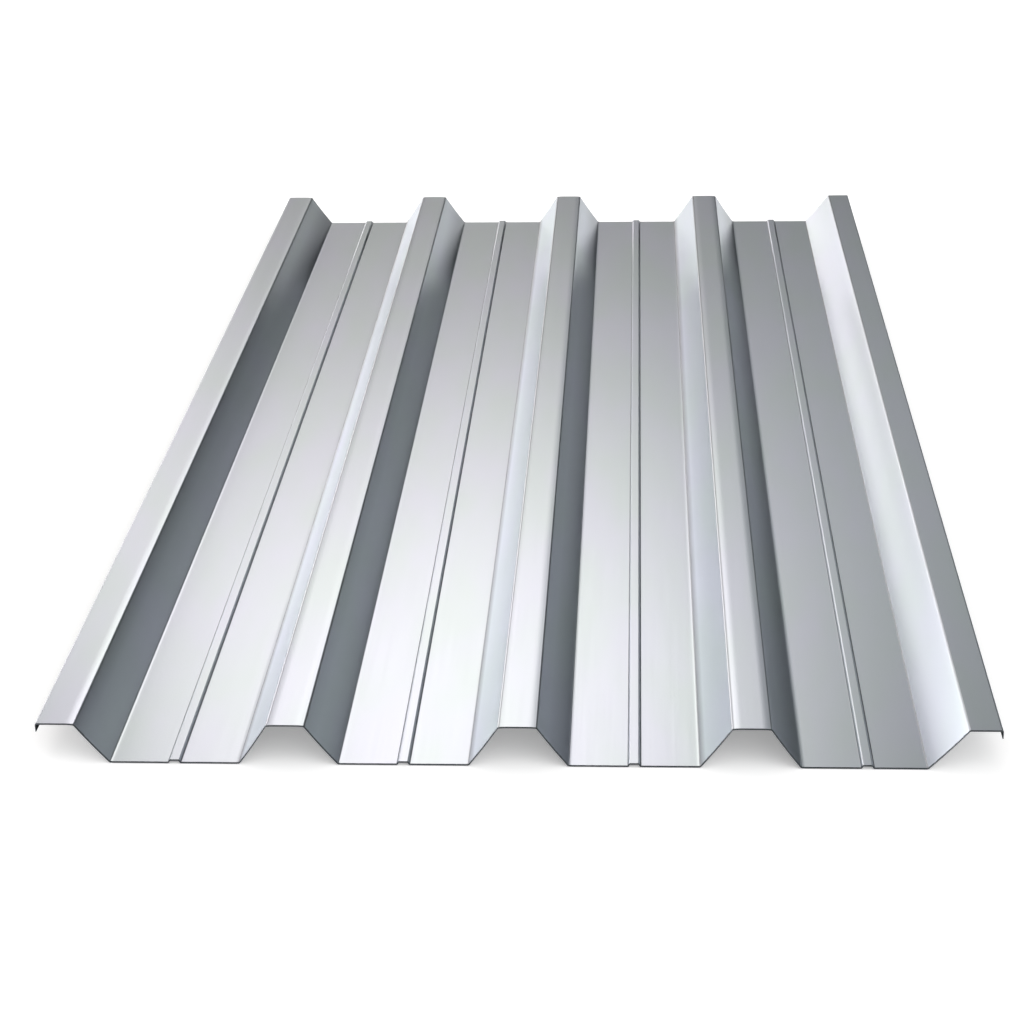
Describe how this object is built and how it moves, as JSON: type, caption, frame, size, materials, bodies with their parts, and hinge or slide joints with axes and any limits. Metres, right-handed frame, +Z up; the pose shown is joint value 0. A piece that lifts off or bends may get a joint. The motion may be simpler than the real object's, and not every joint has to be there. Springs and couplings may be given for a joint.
{
  "type": "corrugated metal sheet",
  "caption": "Galvanised steel sheet with a trapezoidal rib profile, beaded flat pans and turned-down edge lips, for roofs, walls and fences.",
  "frame": {"origin": "under the middle of the sheet, on the plane that its pans lie on", "axes": "+X across the ribs towards the underlapping edge, +Y along the ribs, +Z up out of the pans"},
  "size_m": [0.9374, 1.5, 0.046],
  "materials": {
    "galvanised_steel": "satin zinc coating, clean, without spangle"
  },
  "bodies": {
    "root": {"sheet": "galvanised_steel"}
  },
  "joints": []
}
